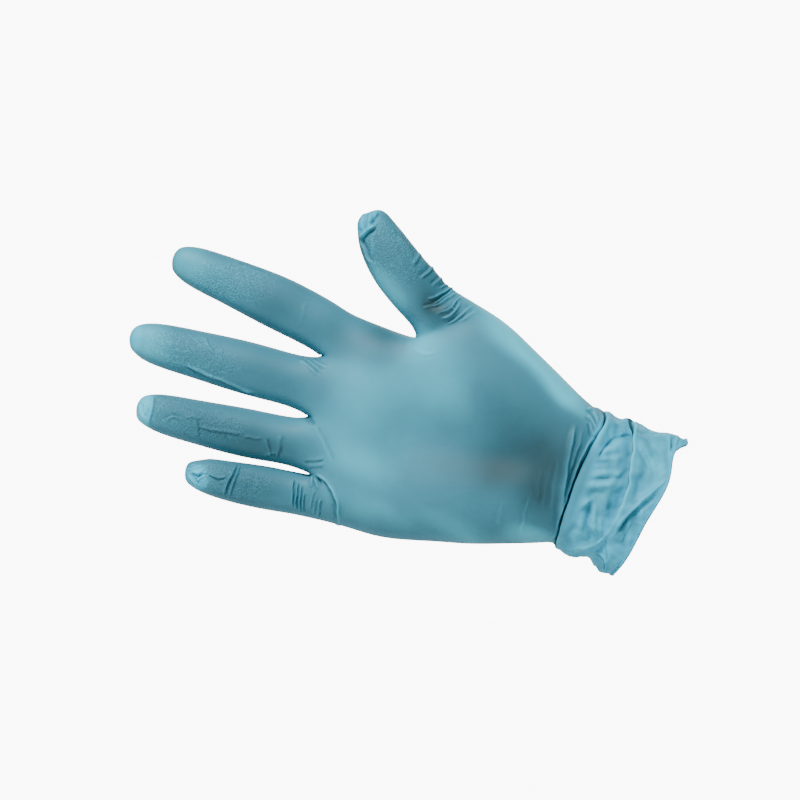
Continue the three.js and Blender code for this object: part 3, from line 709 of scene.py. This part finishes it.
def beadOf(shell):  # the rolled edge, swept along the hem
    pickRim(shell)
    bpy.ops.mesh.duplicate()
    bpy.ops.mesh.separate(type="SELECTED")
    bpy.ops.object.mode_set(mode="OBJECT")
    bead = [piece for piece in bpy.context.selected_objects if piece != shell][0]
    bead.name = "hemBead"
    pickOnly(bead)
    bpy.ops.object.convert(target="CURVE")
    bead.data.bevel_depth = film["bead"] * mm
    bead.data.bevel_resolution = film["beadRounding"]
    bpy.ops.object.convert(target="MESH")
    return bead


def giveWall(shell):  # the inner side is a thinned copy, shrunk, turned over and bridged at the rim
    pickOnly(shell)
    bpy.ops.object.duplicate()
    lining = bpy.context.object
    bpy.ops.object.mode_set(mode="EDIT")
    bpy.ops.mesh.select_all(action="SELECT")
    bpy.ops.transform.shrink_fatten(value=-film["wall"] * mm)
    bpy.ops.mesh.flip_normals()
    bpy.ops.object.mode_set(mode="OBJECT")
    layer = lining.data.attributes["fold"]
    shadingAndTone = np.empty(len(layer.data), np.float32)
    layer.data.foreach_get("value", shadingAndTone)
    # the inner side gets the painted light and shade, turned over and weaker
    layer.data.foreach_set("value", shadingAndTone * film["liningShading"])
    thinOut(lining, pointsOf(lining)[:, 0] < film["fineFrom"], film["liningRatio"])
    print("inner side:", len(lining.data.polygons), "faces")
    joinTo(shell, lining)
    pickRim(shell)
    bpy.ops.mesh.bridge_edge_loops()
    bpy.ops.object.mode_set(mode="OBJECT")


allFolds = thumbFolds + indexFolds + middleFolds + ringFolds + littleFolds + palmFolds + cuffFolds
frontFolds = [row for row in allFolds if row[0] == "front"]
sharpFolds = [
    row for row in thumbFolds + cuffFolds + littleFolds
    if row[0] == "front" and row[2] <= film["sharpWidth"]
]

glove = outerShell()
remakeHem(glove)
applyModifier(glove, "SUBSURF", levels=film["levels"], render_levels=film["levels"])
smoothBack = (normalsOf(glove)[:, 1] > film["backFacing"]) & (pointsOf(glove)[:, 0] < film["backEnd"])
thinOut(glove, smoothBack, film["backRatio"])
print("back thinned:", len(glove.data.polygons), "faces")
fitOutline(glove)
refine(glove, frontFolds, film["nearReach"], loose=True)
refine(glove, sharpFolds, film["sharpReach"])
sculptFolds(glove)
bead = beadOf(glove)
giveWall(glove)
joinTo(glove, bead)
pickOnly(glove)
bpy.ops.object.shade_smooth()
triangles = sum(len(face.vertices) - 2 for face in glove.data.polygons)
print("film:", len(glove.data.polygons), "faces,", triangles, "triangles")

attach(glove, "root")
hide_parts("glove")


# the film's colour, its painted light and shade, and its finish

nitrile = {
    "stretched": (0.045, 0.212, 0.296),
    "loose": (0.042, 0.4, 0.59),
    # the colour that painted shade, and darker film, mixes towards
    "dark": (0.017, 0.063, 0.082),
    # the colour that painted highlights and pools of light, and paler film, mix towards
    "pale": (0.085, 0.62, 0.8),
    "rough": 0.55,
    "gloss": 0.25,
    "grain": 0.35,  # mm, height of the fingertip texture
    "grainStrength": 0.7,
    "cellSize": 1350.0,  # scale of that texture's pebbles
    "fineSize": 2400.0,  # and of the noise on them
    "grainLevel": 0.85,  # the height taken as flat
    "speck": 0.6,  # how far the texture pales and darkens
    "cloudSize": 45.0,  # scale of the slow changes of the film's thickness
    "cloud": 0.3,  # how far they pale and darken
    "drift": 2.5,  # mm that the patches' edges wander
    "gripEdge": (0.6, 1.2),  # in squared radii of a patch, where the texture thins and where it ends
    "slackEdge": (-5, 1),  # mm, the x where the loose colour starts and is whole
    "slackPatch": (0.5, 1.3),  # in squared radii, where a looser or tighter patch thins and ends
}

# Painted light and shade, partly the film's own tone: where the film is painted lighter as a highlight
# or pool of light, or darker as shade in hollows and beside folds, with some patches for film that is
# darker or paler over the hand. Each row gives side, amount, half length and half height in mm, x, z
# and turn.
shades = [
    ("front", 0.35, 26, 26, -96, 6, 0),
    ("front", 0.45, 9, 8, -80, 33, 0),
    ("front", -0.65, 11, 15, -15, 8, 0),
    ("front", -0.6, 10, 12, -14, -11, 0),
    ("front", -0.5, 14, 15, -30, 9, 0),
    ("front", -0.55, 22, 13, -40, -9, 0),
    ("front", -0.3, 14, 12, -34, -7, 0),
    ("front", 0.5, 15, 13, -63, 20, 0),
    ("front", -0.7, 9, 8, -95, 31, 0),
    ("front", 0.5, 14, 8, -94, -22, 0),
    ("front", 0.8, 13, 4, -19, 32, -34),
    ("front", -0.4, 16, 11, -50, 24, 0),
    ("front", -0.6, 6, 5, -79, 49, 45),
    ("front", -0.65, 12, 6, -84.5, 53, -38),
    ("front", 1.2, 28, 6, -40, 46, -30),
    ("front", 0.3, 16, 5, -82, -37, 0),
    ("front", 0.35, 14, 5, -42, -36, -14),
    ("front", 0.7, 9, 5, -15, -29, 0),
    ("front", -0.5, 13, 9, -140, 32, 8),
    ("front", -0.5, 13, 8, -115, 27, 8),
    ("front", 0.4, 10, 8, -183, 37, 0),
    ("front", -0.35, 28, 9, -136, 4, 0),
    ("front", 0.5, 9, 8, -190, 2, 0),
    ("front", -0.6, 24, 7, -128, -25, 4),
    ("front", -0.4, 20, 9, -156, -24, 0),
    ("front", 1.0, 4, 7, -182.5, -26, 0),
    ("front", -0.6, 16, 9, -130, -43, 0),
    ("front", 0.5, 5, 5, -154.5, -45.5, 0),
    ("front", -0.3, 12, 8, -103, 66, -40),
    ("front", 0.5, 14, 5, -100, 50, -42),
    ("front", -0.5, 2.4, 11, 14.2, 13, 12),
    ("front", -0.35, 2.0, 30, -0.8, 0, 2),
    ("front", 0.45, 6, 9, 25, 16, 0),
    ("front", 0.3, 5, 12, 8.5, 4, 0),
    ("front", 0.2, 5, 9, 8.5, -16, 0),
    ("front", -0.35, 3, 9, 22.6, -14, -20),
]

# Where the fingertip texture lies: half length and half height in mm, x, z and turn.
grips = [
    (20, 9, -162, 35, 6),
    (22, 9, -168, 2, 0),
    (22, 8, -160, -24, 4),
    (16, 8, -138, -43, 2),
    (16, 10, -102, 66, -40),
]

# Where the film hangs loose, or less loose on the cuff: amount, half length and half height in
# mm, x, z and turn.
slacks = [
    (1.0, 5, 8, -118, 76, 0),
    (1.0, 5, 8, -183, -26, 0),
    (1.0, 6, 6, -154, -46, 0),
    (1.0, 4, 8, -195, 2, 0),
    (-0.4, 6, 16, 9.5, 2, 0),
    (-0.4, 7, 12, 25, 15, 0),
]


def paintValues(shell):
    places = pointsOf(shell)
    normals = normalsOf(shell)
    drift = np.column_stack([wander(places, *waves["paintX"]), wander(places, *waves["paintZ"])])
    flat = places[:, [0, 2]] + drift * nitrile["drift"]
    # painted light and shade, partly the film's own tone, summed from the table above
    shade = np.zeros(len(places))
    for side, amount, *where in shades:
        shade += amount * np.exp(-patch(flat, *where)) * sideShare(normals, side)
    grip = np.zeros(len(places))
    for where in grips:
        grip = np.maximum(grip, 1 - smoothStep(*nitrile["gripEdge"], patch(flat, *where)))
    slack = smoothStep(*nitrile["slackEdge"], flat[:, 0])
    for amount, *where in slacks:
        slack += amount * (1 - smoothStep(*nitrile["slackPatch"], patch(flat, *where)))
    slack = np.clip(slack, 0, 1)
    for name, values in (("shade", shade), ("grip", grip), ("slack", slack)):
        layer = shell.data.attributes.new(name, "FLOAT", "POINT")
        layer.data.foreach_set("value", values.astype(np.float32))


def groupOf(name, inputs, outputs):
    group = bpy.data.node_groups.new(name, "ShaderNodeTree")
    for label, kind, value in inputs:
        made = group.interface.new_socket(label, in_out="INPUT", socket_type=kind)
        made.default_value = value
    for label, kind in outputs:
        group.interface.new_socket(label, in_out="OUTPUT", socket_type=kind)
    return group, group.nodes.new("NodeGroupInput"), group.nodes.new("NodeGroupOutput")


def placed(tree, kind, **values):
    node = tree.nodes.new(kind)
    for name, value in values.items():
        if hasattr(node, name):
            setattr(node, name, value)
        else:
            node.inputs[name].default_value = value
    return node


def filmMottle():  # slow changes of the film's thickness
    inputs = [
        ("Size", "NodeSocketFloat", nitrile["cloudSize"]),
        ("Amount", "NodeSocketFloat", nitrile["cloud"]),
    ]
    group, given, put = groupOf("filmMottle", inputs, [("Mask", "NodeSocketFloat")])
    where = placed(group, "ShaderNodeTexCoord")
    cloud = placed(group, "ShaderNodeTexNoise", Detail=4.0, Roughness=0.55)
    spread = placed(group, "ShaderNodeMath", operation="MULTIPLY")
    centred = placed(group, "ShaderNodeMath", operation="SUBTRACT")
    centred.inputs[1].default_value = 0.5
    link = group.links.new
    link(where.outputs["Object"], cloud.inputs["Vector"])
    link(given.outputs["Size"], cloud.inputs["Scale"])
    link(cloud.outputs["Fac"], centred.inputs[0])
    link(centred.outputs[0], spread.inputs[0])
    link(given.outputs["Amount"], spread.inputs[1])
    link(spread.outputs[0], put.inputs["Mask"])
    return group


def gripGrain():  # pebbled fingertip texture
    inputs = [
        ("Size", "NodeSocketFloat", nitrile["cellSize"]),
        ("Grip", "NodeSocketFloat", 0.0),
    ]
    group, given, put = groupOf("gripGrain", inputs, [("Height", "NodeSocketFloat")])
    where = placed(group, "ShaderNodeTexCoord")
    cells = placed(group, "ShaderNodeTexVoronoi", feature="F1", Randomness=0.8)
    fine = placed(group, "ShaderNodeTexNoise", Scale=nitrile["fineSize"], Detail=1.0, Roughness=0.5)
    both = placed(group, "ShaderNodeMath", operation="ADD")
    level = placed(group, "ShaderNodeMath", operation="SUBTRACT")
    level.inputs[1].default_value = nitrile["grainLevel"]
    kept = placed(group, "ShaderNodeMath", operation="MULTIPLY")
    link = group.links.new
    link(where.outputs["Object"], cells.inputs["Vector"])
    link(where.outputs["Object"], fine.inputs["Vector"])
    link(given.outputs["Size"], cells.inputs["Scale"])
    link(cells.outputs["Distance"], both.inputs[0])
    link(fine.outputs["Fac"], both.inputs[1])
    link(both.outputs[0], level.inputs[0])
    link(level.outputs[0], kept.inputs[0])
    link(given.outputs["Grip"], kept.inputs[1])
    link(kept.outputs[0], put.inputs["Height"])
    return group


def nitrileMaterial():
    material = bpy.data.materials.new("blueNitrile")
    material.use_nodes = True
    tree = material.node_tree
    link = tree.links.new
    shader = tree.nodes["Principled BSDF"]
    shader.inputs["Roughness"].default_value = nitrile["rough"]
    shader.inputs["Specular IOR Level"].default_value = nitrile["gloss"]
    # painted light and shade, partly the film's own tone, read from the attribute
    shade = placed(tree, "ShaderNodeAttribute", attribute_name="shade")
    slack = placed(tree, "ShaderNodeAttribute", attribute_name="slack")
    grip = placed(tree, "ShaderNodeAttribute", attribute_name="grip")
    mottle = placed(tree, "ShaderNodeGroup", node_tree=mottleGroup)
    grain = placed(tree, "ShaderNodeGroup", node_tree=grainGroup)
    total = placed(tree, "ShaderNodeMath", operation="ADD")
    body = placed(tree, "ShaderNodeMix", data_type="RGBA")
    body.inputs[6].default_value = (*nitrile["stretched"], 1)
    body.inputs[7].default_value = (*nitrile["loose"], 1)
    # below zero the colour is mixed towards the dark colour as painted shade, above zero towards pale
    # as painted light
    darker = placed(tree, "ShaderNodeMapRange")
    darker.inputs["From Min"].default_value = 0
    darker.inputs["From Max"].default_value = -1
    paler = placed(tree, "ShaderNodeMapRange")
    darkMix = placed(tree, "ShaderNodeMix", data_type="RGBA")
    darkMix.inputs[7].default_value = (*nitrile["dark"], 1)
    paleMix = placed(tree, "ShaderNodeMix", data_type="RGBA")
    paleMix.inputs[7].default_value = (*nitrile["pale"], 1)
    # painted light and shade of the folds, with the loose film's uneven colour
    fold = placed(tree, "ShaderNodeAttribute", attribute_name="fold")
    speck = placed(tree, "ShaderNodeMath", operation="MULTIPLY_ADD")
    speck.inputs[1].default_value = nitrile["speck"]
    shadingGrainAndMottle = placed(tree, "ShaderNodeMath", operation="ADD")
    link(grip.outputs["Fac"], grain.inputs["Grip"])
    link(grain.outputs["Height"], speck.inputs[0])
    link(mottle.outputs["Mask"], speck.inputs[2])
    link(fold.outputs["Fac"], shadingGrainAndMottle.inputs[0])
    link(speck.outputs[0], shadingGrainAndMottle.inputs[1])
    link(shade.outputs["Fac"], total.inputs[0])
    link(shadingGrainAndMottle.outputs[0], total.inputs[1])
    link(total.outputs[0], darker.inputs["Value"])
    link(total.outputs[0], paler.inputs["Value"])
    link(slack.outputs["Fac"], body.inputs[0])
    link(darker.outputs["Result"], darkMix.inputs[0])
    link(body.outputs[2], darkMix.inputs[6])
    link(paler.outputs["Result"], paleMix.inputs[0])
    link(darkMix.outputs[2], paleMix.inputs[6])
    link(paleMix.outputs[2], shader.inputs["Base Color"])
    bump = placed(tree, "ShaderNodeBump", Distance=nitrile["grain"] * mm)
    bump.inputs["Strength"].default_value = nitrile["grainStrength"]
    link(grain.outputs["Height"], bump.inputs["Height"])
    link(bump.outputs["Normal"], shader.inputs["Normal"])
    return material


mottleGroup = filmMottle()
grainGroup = gripGrain()
paintValues(glove)
glove.data.materials.append(nitrileMaterial())
print("nitrile painted")


# floor, light and camera

studio = {
    "floor": -0.5,  # m
    "floorColour": (0.92, 0.92, 0.92),
    "floorRough": 0.8,
    "lens": 200,
    "sensor": 36,  # mm
    "across": 0.332,  # m of the object's plane that the frame shows
    "middle": (-0.0821, 0.0087),  # x and z at the middle of the frame
    "turn": 17,  # degrees
    "room": 0.2,  # light from all round
    "roomTint": (1.0, 0.86, 0.8),
    "keyTint": (0.9, 0.99, 1.0),
    "backdrop": 10,  # what the camera sees behind
    "aim": (-0.08, 0, 0.01),
    "lamps": [  # name, place in m, power and size in m
        ("keyLight", (-0.75, -0.9, 0.95), 36, 0.45),
        ("fillLight", (0.5, -1.3, 0.0), 5, 0.9),
        ("backLight", (0.1, 1.4, 0.7), 12, 1.2),
    ],
}

bpy.ops.object.select_all(action="DESELECT")
bpy.ops.mesh.primitive_plane_add(size=2, location=(0, 0, studio["floor"]))
floor = bpy.context.object
floor.name = "floor"
floorPaint = bpy.data.materials.new("paleFloor")
floorPaint.use_nodes = True
floorShader = floorPaint.node_tree.nodes["Principled BSDF"]
floorShader.inputs["Base Color"].default_value = (*studio["floorColour"], 1)
floorShader.inputs["Roughness"].default_value = studio["floorRough"]
floor.data.materials.append(floorPaint)

world = bpy.data.worlds.new("paleRoom")
bpy.context.scene.world = world
world.use_nodes = True
roomLink = world.node_tree.links.new
roomLight = world.node_tree.nodes["Background"]
roomLight.inputs["Color"].default_value = (*studio["roomTint"], 1)
roomLight.inputs["Strength"].default_value = studio["room"]
backdrop = world.node_tree.nodes.new("ShaderNodeBackground")
backdrop.inputs["Color"].default_value = (1, 1, 1, 1)
backdrop.inputs["Strength"].default_value = studio["backdrop"]
seen = world.node_tree.nodes.new("ShaderNodeLightPath")
chosen = world.node_tree.nodes.new("ShaderNodeMixShader")
roomLink(seen.outputs["Is Camera Ray"], chosen.inputs[0])
roomLink(roomLight.outputs[0], chosen.inputs[1])
roomLink(backdrop.outputs[0], chosen.inputs[2])
roomLink(chosen.outputs[0], world.node_tree.nodes["World Output"].inputs["Surface"])


def softLight(name, place, power, size):
    bpy.ops.object.light_add(type="AREA", location=place)
    lamp = bpy.context.object
    lamp.name = name
    lamp.data.energy = power
    lamp.data.size = size
    lamp.data.color = studio["keyTint"]
    lamp.rotation_mode = "QUATERNION"
    lamp.rotation_quaternion = (Vector(studio["aim"]) - Vector(place)).to_track_quat("-Z", "Y")


for row in studio["lamps"]:
    softLight(*row)

turn = math.radians(studio["turn"])
right = Vector((math.cos(turn), 0, math.sin(turn)))
up = Vector((-math.sin(turn), 0, math.cos(turn)))
away = Vector((0, -1, 0))
distance = studio["across"] * studio["lens"] / studio["sensor"]
cameraData = bpy.data.cameras.new("camera")
cameraData.lens = studio["lens"]
camera = bpy.data.objects.new("camera", cameraData)
bpy.context.scene.collection.objects.link(camera)
x, z = studio["middle"]
spot = Vector((x, -distance, z))
camera.matrix_world = Matrix.Translation(spot) @ Matrix((right, up, away)).transposed().to_4x4()
bpy.context.scene.camera = camera
print("studio set")
